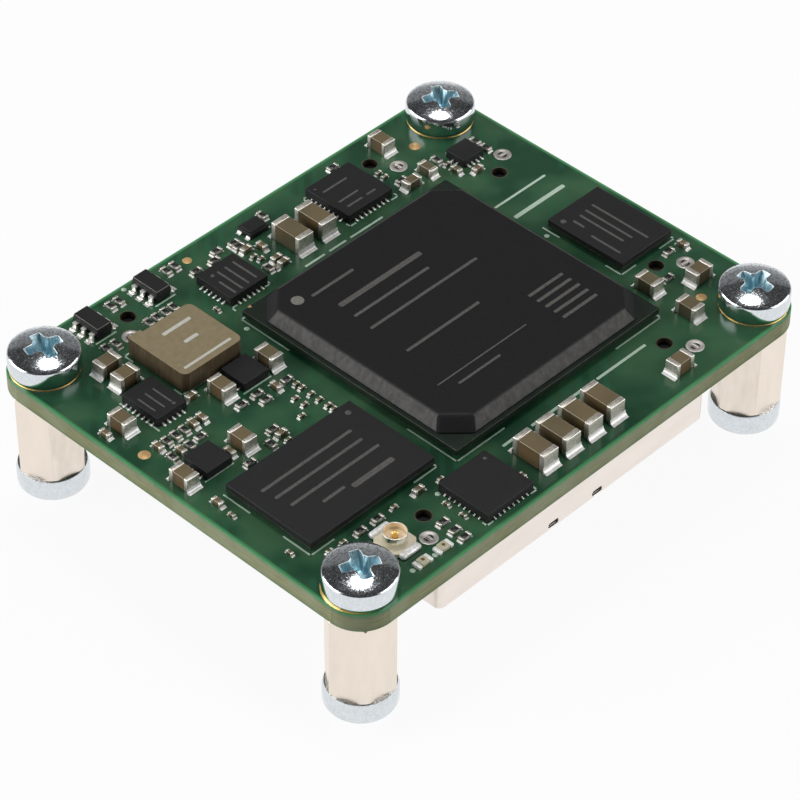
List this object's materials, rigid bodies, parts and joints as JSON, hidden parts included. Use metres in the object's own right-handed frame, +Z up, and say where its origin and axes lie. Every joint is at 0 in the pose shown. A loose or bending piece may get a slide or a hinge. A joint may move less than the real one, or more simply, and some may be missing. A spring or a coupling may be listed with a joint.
{
  "type": "system on module",
  "caption": "Compact computer module on a green board with a large processor package, chips around it, shielded connectors below, standing on screwed hexagonal standoffs.",
  "frame": {"origin": "centre of the footprint, at the lowest point of the lower screw heads", "axes": "+X along the board's long edge towards the short connector, +Y along its short edge away from the edge nearest the viewer in the picture, +Z up out of the component side"},
  "size_m": [0.05, 0.04, 0.0144],
  "materials": {
    "board_laminate": "solder mask over glass laminate",
    "package_laminate": "dark solder mask",
    "solder": "reflowed tin",
    "tin_plate": "matte tin",
    "screw_zinc": "bright zinc",
    "standoff_nickel": "nickel plated",
    "shield_nickel": "nickel plated",
    "gold_plate": "gold plated",
    "moulded_black": "fine matte moulding",
    "housing_black": "moulded",
    "moulded_cream": "moulded",
    "pressed_composite": "coated pressed powder",
    "ceramic_olive": "fired",
    "resistor_black": "glass coated",
    "lamp_resin": "clear cast resin"
  },
  "bodies": {
    "root": {"circuit_board": "board_laminate", "shield_tab_solder": "solder", "top_screws": "screw_zinc", "standoffs": "standoff_nickel", "bottom_screws": "screw_zinc", "processor_base": "package_laminate", "processor_cap": "moulded_black", "processor_balls": "solder", "memory_package": "moulded_black", "memory_balls": "solder", "flash_package": "moulded_black", "flash_balls": "solder", "network_chip_body": "moulded_black", "network_chip_solder": "solder", "clock_chip_body": "moulded_black", "clock_chip_solder": "solder", "logic_chip_body": "moulded_black", "logic_chip_solder": "solder", "main_regulator_body": "moulded_black", "main_regulator_solder": "solder", "small_regulator_body": "moulded_black", "small_regulator_solder": "solder", "power_module_bodies": "moulded_black", "power_module_solder": "solder", "power_inductor_body": "pressed_composite", "power_inductor_terminals": "solder", "oscillator_package": "moulded_black", "oscillator_lid": "moulded_black", "oscillator_solder": "solder", "six_pin_chip_bodies": "moulded_black", "six_pin_chip_leads": "solder", "antenna_socket_base": "moulded_cream", "antenna_socket_shell": "gold_plate", "antenna_socket_feet": "solder", "antenna_socket_pin": "gold_plate", "indicator_lamp_lenses": "lamp_resin", "indicator_lamp_ends": "solder", "bulk_capacitor_bodies": "ceramic_olive", "bulk_capacitor_ends": "tin_plate", "medium_capacitor_bodies": "ceramic_olive", "medium_capacitor_ends": "tin_plate", "small_capacitor_bodies": "ceramic_olive", "small_capacitor_ends": "tin_plate", "tiny_capacitor_bodies": "ceramic_olive", "tiny_capacitor_ends": "tin_plate", "resistor_bodies": "resistor_black", "resistor_ends": "tin_plate", "underside_capacitor_bodies": "ceramic_olive", "underside_capacitor_ends": "tin_plate", "front_connector_housing": "housing_black", "front_connector_shield": "shield_nickel", "rear_connector_housing": "housing_black", "rear_connector_shield": "shield_nickel", "right_connector_housing": "housing_black", "right_connector_shield": "shield_nickel"}
  },
  "joints": []
}
